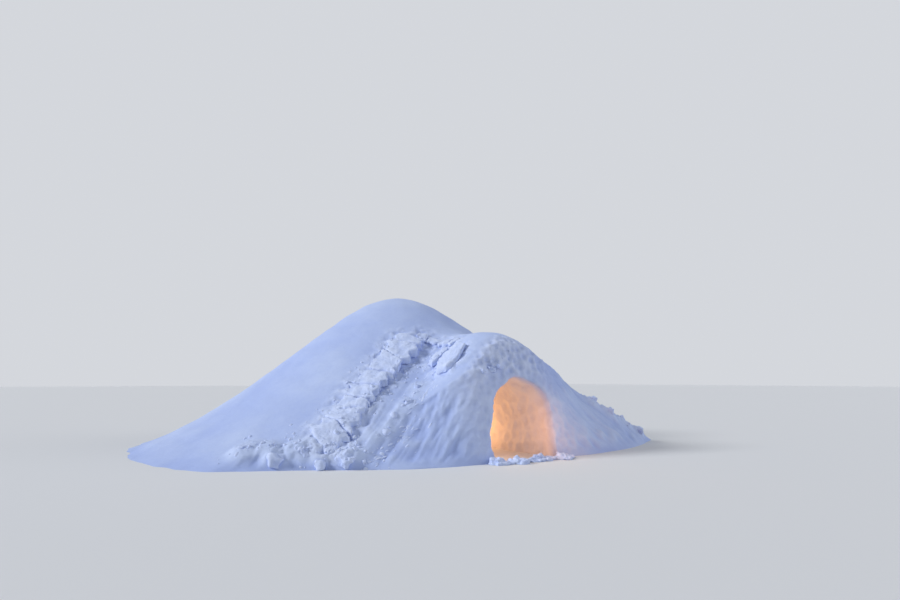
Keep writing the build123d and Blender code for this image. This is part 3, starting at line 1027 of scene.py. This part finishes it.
@dataclass
class LooseSnow:
    """Crust, chips, clods and sill: rough lumps bedded in the mass."""

    voxel: float = 0.018
    rounding: int = 4
    swell: float = 0.008
    rough: float = 0.030
    rough_size: float = 0.17
    grit: float = 0.009
    grit_size: float = 0.050
    sunk: float = 0.0

    def dress(self, node: Object, slot: Slot, material: Material) -> Object:
        """Make the rough piece that stands for a node of loose snow.

        Args:
            node: The frame's node.
            slot: Material slot of the piece; not used.
            material: Finish of the piece.

        Returns:
            The new piece.
        """
        source = welded_copy(node)
        bpy.context.scene.collection.objects.link(source)
        rough = remeshed(source, self.voxel)
        bpy.data.meshes.remove(source.data)
        edges = read_values(rough.edges, "vertices", 2, int)
        place = relax(read_values(rough.vertices, "co", 3), edges, self.rounding)
        move_points(rough, place)
        depth = np.array([self._depth(Vector(p)) for p in place])
        place = place + snow_normals(rough) * depth[:, None]
        place[:, 2] = np.maximum(place[:, 2] - self.sunk, 0.0)
        shade_smooth(rough)
        # Painted shade: the lumps are painted darker in their hollows and lighter on their crests.
        write_loose(rough, hollow_shade_weight(depth, self.rough, LUMP_HOLLOW_SHADE))
        move_points(rough, place)
        rough.materials.clear()
        rough.name = "loose_" + node.name
        return add_piece("loose_" + node.name, rough, material, node.name)

    def _depth(self, here: Vector) -> float:
        """Relief of broken snow at one place, outwards."""
        value = self.swell + self.rough * noise.noise(here / self.rough_size)
        return value + self.grit * noise.noise(here / self.grit_size)


LOOSE_KINDS = {
    "hewn_chips": LooseSnow(voxel=0.012, rounding=2, swell=0.0, rough=0.022, rough_size=0.07,
                            grit=0.007, grit_size=0.030),
    "threshold_sill": LooseSnow(voxel=0.013, rounding=3, swell=0.004, rough=0.040, rough_size=0.10,
                                grit=0.016, grit_size=0.038),
    "foot_clods_left": LooseSnow(voxel=0.018, rounding=24, swell=0.004, rough=0.075, rough_size=0.16,
                                 grit=0.014, grit_size=0.055, sunk=0.040),
    "foot_clods_right": LooseSnow(voxel=0.018, rounding=14, swell=0.0, rough=0.050, rough_size=0.16,
                                  grit=0.012, grit_size=0.050),
    "crust_crumbs": LooseSnow(voxel=0.014, rounding=8, swell=0.0, rough=0.034, rough_size=0.11,
                              grit=0.010, grit_size=0.040),
}


def surface_of(meshes: list[Mesh]) -> BVHTree:
    """Search tree over the faces of several meshes.

    Args:
        meshes: Meshes to search.

    Returns:
        The tree, for casting rays.
    """
    points, faces = [], []
    for mesh in meshes:
        first = len(points)
        points += [v.co for v in mesh.vertices]
        faces += [[first + i for i in p.vertices] for p in mesh.polygons]
    return BVHTree.FromPolygons(points, faces)


class Cast(Enum):
    """Which way crumbs are thrown onto the heap."""

    DOWN = (0.0, 0.0, -1.0)
    AHEAD = (0.0, 1.0, 0.0)


@dataclass
class Crumbs:
    """Small crumbs of broken snow strewn along a line on the heap, seen in plan or from the front."""

    name: str
    start: Limits
    end: Limits
    count: int
    spread: float
    sizes: Limits
    seed: int
    stretch: float = 1.0
    cast: Cast = Cast.DOWN
    slot: Slot = Slot.LOOSE
    sunk: float = 0.22
    ragged: float = 0.42
    flatness: float = 0.66
    throw: float = 10.0
    shifts: float = 100
    knobs: float = 2.6
    burrs: float = 6.5
    burr_share: float = 0.35

    def dress(self, layout: Layout, surface: BVHTree, material: Material) -> Object:
        """Strew the crumbs on the surface.

        Args:
            layout: The igloo's layout, for the doorway's place.
            surface: The weathered surface and all that lies on it.
            material: Finish of the crumbs.

        Returns:
            One object with all the crumbs of this line.
        """
        draw = random.Random(self.seed)
        mesh = bpy.data.meshes.new(self.name)
        strewn = bmesh.new()
        smallest, largest = self.sizes
        along = Vector((self.end[0] - self.start[0], self.end[1] - self.start[1], 0))
        for _ in range(self.count):
            share = draw.random()
            side = self.start[0] + along.x * share + draw.gauss(0, self.spread)
            other = self.start[1] + along.y * share + draw.gauss(0, self.spread)
            size = smallest + (largest - smallest) * draw.random() ** 2
            turn = Euler([draw.uniform(0, math.tau) for _ in range(3)]).to_quaternion()
            shift = draw.uniform(0, self.shifts)
            origin = Vector((layout.door_x + side, layout.door_y + other, self.throw))
            if self.cast is Cast.AHEAD:
                origin = Vector((layout.door_x + side, layout.door_y - self.throw, other))
            place, normal, _, _ = surface.ray_cast(origin, Vector(self.cast.value))
            if place is None:
                continue
            if self.stretch > 1.0:
                turn = (along - normal * normal.dot(along)).to_track_quat("X", "Z")
            self._crumb(strewn, place - normal * size * self.sunk, size, turn, shift)
        strewn.to_mesh(mesh)
        strewn.free()
        shade_smooth(mesh)
        # Painted light: every crumb gets one weight above that of level snow, so crumbs are painted lighter.
        write_loose(mesh, np.full(len(mesh.vertices), CRUMB_HOLLOW_SHADE))
        return add_piece(self.name, mesh, material)

    def _crumb(self, strewn: BMesh, middle: Vector, size: float, turn: Quaternion, shift: float) -> None:
        """Add one knobbly crumb with a flat sole where it meets the ground.

        Args:
            strewn: Mesh to add to.
            middle: Middle of the crumb.
            size: Its width.
            turn: How it lies.
            shift: Offset into the noise, so that no two crumbs match.
        """
        ball = bmesh.ops.create_icosphere(strewn, subdivisions=2, radius=0.5)
        for vert in ball["verts"]:
            knob = noise.noise(vert.co * self.knobs + Vector((shift, 0, 0)))
            burr = noise.noise(vert.co * self.burrs + Vector((0, shift, 0)))
            shape = vert.co * (1 + self.ragged * knob + self.ragged * self.burr_share * burr)
            shape.x *= self.stretch
            shape.z *= self.flatness
            shape.rotate(turn)
            vert.co = middle + shape * size
            vert.co.z = max(vert.co.z, 0.0)


CRUMB_LINES = (
    Crumbs("crumbs_band_top", (-0.55, 1.75), (-1.75, 1.75), count=60, spread=0.16,
           sizes=(0.03, 0.09), seed=11),
    Crumbs("crumbs_band_low", (-1.75, 1.75), (-3.45, 0.95), count=90, spread=0.15,
           sizes=(0.03, 0.10), seed=12),
    Crumbs("streaks_upper", (-0.85, 1.50), (-2.10, 1.02), count=90, spread=0.10,
           sizes=(0.022, 0.055), seed=13, stretch=2.6),
    Crumbs("streaks_lower", (-1.30, 1.05), (-3.00, 0.42), count=120, spread=0.12,
           sizes=(0.022, 0.060), seed=18, stretch=2.4),
    Crumbs("crumbs_band_outer", (-1.35, 2.75), (-3.95, 1.60), count=40, spread=0.10,
           sizes=(0.03, 0.09), seed=14),
    Crumbs("crumbs_left_foot", (-4.95, 1.95), (-3.05, 0.55), count=110, spread=0.20,
           sizes=(0.035, 0.13), seed=15),
    Crumbs("crumbs_right_wing", (2.75, 1.15), (4.75, 1.05), count=90, spread=0.13,
           sizes=(0.03, 0.10), seed=16),
    Crumbs("crumbs_hewn", (-0.70, 1.72), (0.10, 1.98), count=40, spread=0.10,
           sizes=(0.025, 0.065), seed=17, cast=Cast.AHEAD, slot=Slot.HEWN),
    Crumbs("crumbs_sill", (-0.95, -0.24), (0.95, -0.24), count=150, spread=0.07,
           sizes=(0.025, 0.085), seed=19),
)

# The photograph's horizon lies this far under its middle, and its lens is this long, both in pixels.
HORIZON_DROP, FOCAL_LENGTH = 80, 600


@dataclass
class Studio:
    """Pale floor and backdrop, soft light, the glow inside and the camera."""

    layout: Layout
    turn: float = math.radians(33.0)
    pitch: float = math.atan(HORIZON_DROP / FOCAL_LENGTH)
    eye_height: float = 1.5
    door_aside: float = 1.42
    door_away: float = 11.7
    lens: float = 24.0
    sensor: float = 36.0
    sight: float = 500.0
    floor_half: float = 150.0
    floor_roughness: float = 0.9
    pale: Triple = (0.74, 0.75, 0.77)
    backdrop: Triple = (0.66, 0.68, 0.72)
    sky: Triple = (0.84, 0.90, 1.0)
    sky_strength: float = 0.37
    key_energy: float = 2.3
    key_softness: float = 16.0
    key_from: Triple = (-0.95, 0.30, 0.52)
    fill_energy: float = 0.80
    fill_softness: float = 35.0
    fill_from: Triple = (0.85, -0.50, 0.45)
    glow_colour: Triple = (1.0, 0.50, 0.20)
    glows: tuple[tuple[str, Triple, float, float], ...] = (
        ("glow_tunnel", (0.16, 2.20, 0.46), 16.0, 0.22), ("glow_chamber", (-0.3, 4.2, 0.9), 38.0, 0.40),
        ("glow_porch", (-0.40, 0.36, 0.60), 6.5, 0.25))
    spill_place: Triple = (-0.55, -0.95, 0.75)
    spill_aim: Triple = (1.35, 0.10, 0.62)
    spill_colour: Triple = (1.0, 0.40, 0.12)
    spill_energy: float = 95.0
    spill_angle: float = math.radians(62.0)
    spill_size: float = 0.3

    def build(self) -> None:
        """Set the floor, the lights and the camera."""
        self._floor()
        self._world()
        self._suns()
        self._glows()
        self._camera()
        LOG.info("studio set")

    @staticmethod
    def _aim(item: Object, way: Vector) -> None:
        """Turn a lamp or the camera to look along a direction."""
        item.rotation_euler = way.to_track_quat("-Z", "Y").to_euler()

    def _floor(self) -> None:
        """Large pale floor under the igloo."""
        half = self.floor_half
        sheet = [(-half, -half, 0), (half, -half, 0), (half, half, 0), (-half, half, 0)]
        mesh = bpy.data.meshes.new("floor")
        mesh.from_pydata(sheet, [], [(0, 1, 2, 3)])
        floor = new_object("floor", mesh)
        material = bpy.data.materials.new("pale_floor")
        material.use_nodes = True
        shader = material.node_tree.nodes["Principled BSDF"]
        shader.inputs["Base Color"].default_value = (*self.pale, 1.0)
        shader.inputs["Roughness"].default_value = self.floor_roughness
        mesh.materials.append(material)

    def _world(self) -> None:
        """Plain soft light from all round; what is seen of it is a plain pale backdrop."""
        world = bpy.data.worlds.new("studio")
        bpy.context.scene.world = world
        world.use_nodes = True
        tree = world.node_tree
        light = tree.nodes["Background"]
        light.inputs["Color"].default_value = (*self.sky, 1.0)
        light.inputs["Strength"].default_value = self.sky_strength
        seen = tree.nodes.new("ShaderNodeBackground")
        seen.inputs["Color"].default_value = (*self.backdrop, 1.0)
        ray = tree.nodes.new("ShaderNodeLightPath")
        direct = ray.outputs["Is Camera Ray"]
        for name in ("Is Glossy Ray", "Is Transmission Ray"):
            either = tree.nodes.new("ShaderNodeMath")
            either.operation = "MAXIMUM"
            tree.links.new(direct, either.inputs[0])
            tree.links.new(ray.outputs[name], either.inputs[1])
            direct = either.outputs[0]
        mix = tree.nodes.new("ShaderNodeMixShader")
        for i, socket in enumerate((direct, light.outputs[0], seen.outputs[0])):
            tree.links.new(socket, mix.inputs[i])
        tree.links.new(mix.outputs[0], tree.nodes["World Output"].inputs["Surface"])

    def _suns(self) -> None:
        """Soft key light from the left and a weaker fill from the right."""
        suns = (("key", self.key_from, self.key_energy, self.key_softness),
                ("fill", self.fill_from, self.fill_energy, self.fill_softness))
        for name, side, energy, softness in suns:
            sun = bpy.data.lights.new(name, "SUN")
            settle(sun, energy=energy, angle=math.radians(softness))
            self._aim(new_object(name, sun), -Vector(side))

    def _glows(self) -> None:
        """Warm lamps in the tunnel, the chamber and the porch, and the spill on the right cheek."""
        for name, (x, y, z), energy, size in self.glows:
            light = bpy.data.lights.new(name, "POINT")
            settle(light, energy=energy, color=self.glow_colour, shadow_soft_size=size)
            new_object(name, light).location = (self.layout.door_x + x, self.layout.door_y + y, z)
        spill = bpy.data.lights.new("glow_spill", "SPOT")
        settle(spill, energy=self.spill_energy, color=self.spill_colour, spot_size=self.spill_angle,
               spot_blend=1.0, shadow_soft_size=self.spill_size)
        lamp = new_object("glow_spill", spill)
        lamp.location = self.layout.door() + Vector(self.spill_place)
        self._aim(lamp, Vector(self.spill_aim) - Vector(self.spill_place))

    def _camera(self) -> None:
        """Camera at the photograph's viewing angle."""
        right = Vector((math.cos(self.turn), -math.sin(self.turn), 0))
        ahead = Vector((math.sin(self.turn), math.cos(self.turn), 0))
        eye = Vector((0, 0, self.eye_height))
        data = bpy.data.cameras.new("camera")
        settle(data, lens=self.lens, sensor_width=self.sensor, sensor_fit="HORIZONTAL", clip_end=self.sight)
        camera = new_object("camera", data)
        camera.location = self.layout.door() - right * self.door_aside - ahead * self.door_away + eye
        self._aim(camera, ahead * math.cos(self.pitch) + Vector((0, 0, math.sin(self.pitch))))
        bpy.context.scene.camera = camera


def main() -> None:
    """Build the igloo's looks piece by piece and set it in the studio."""
    logging.basicConfig(level=logging.INFO, format="%(message)s")
    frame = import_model()
    layout = Layout.from_frame()
    LOG.info("layout %s", layout)
    finishes = {slot: SnowFinish(slot.value, PACKED_TONE, SNOW_LAYERS).make() for slot in Slot}
    nodes = frame["nodes"]
    mass = {name: node for name, node in nodes.items() if name not in LOOSE_NODES}
    loose = {name: nodes[name] for name in LOOSE_NODES}
    weathered = HeapMass(layout).dress(mass, loose, finishes)
    surfaces = [weathered]
    for name, node in loose.items():
        slot = slot_of(name)
        surfaces.append(LOOSE_KINDS.get(name, LooseSnow()).dress(node, slot, finishes[slot]).data)
    surface = surface_of(surfaces)
    for crumbs in CRUMB_LINES:
        crumbs.dress(layout, surface, finishes[crumbs.slot])
    bpy.data.meshes.remove(weathered)
    Studio(layout).build()
    bpy.context.scene.view_settings.view_transform = "Standard"


if __name__ == "__main__":
    main()
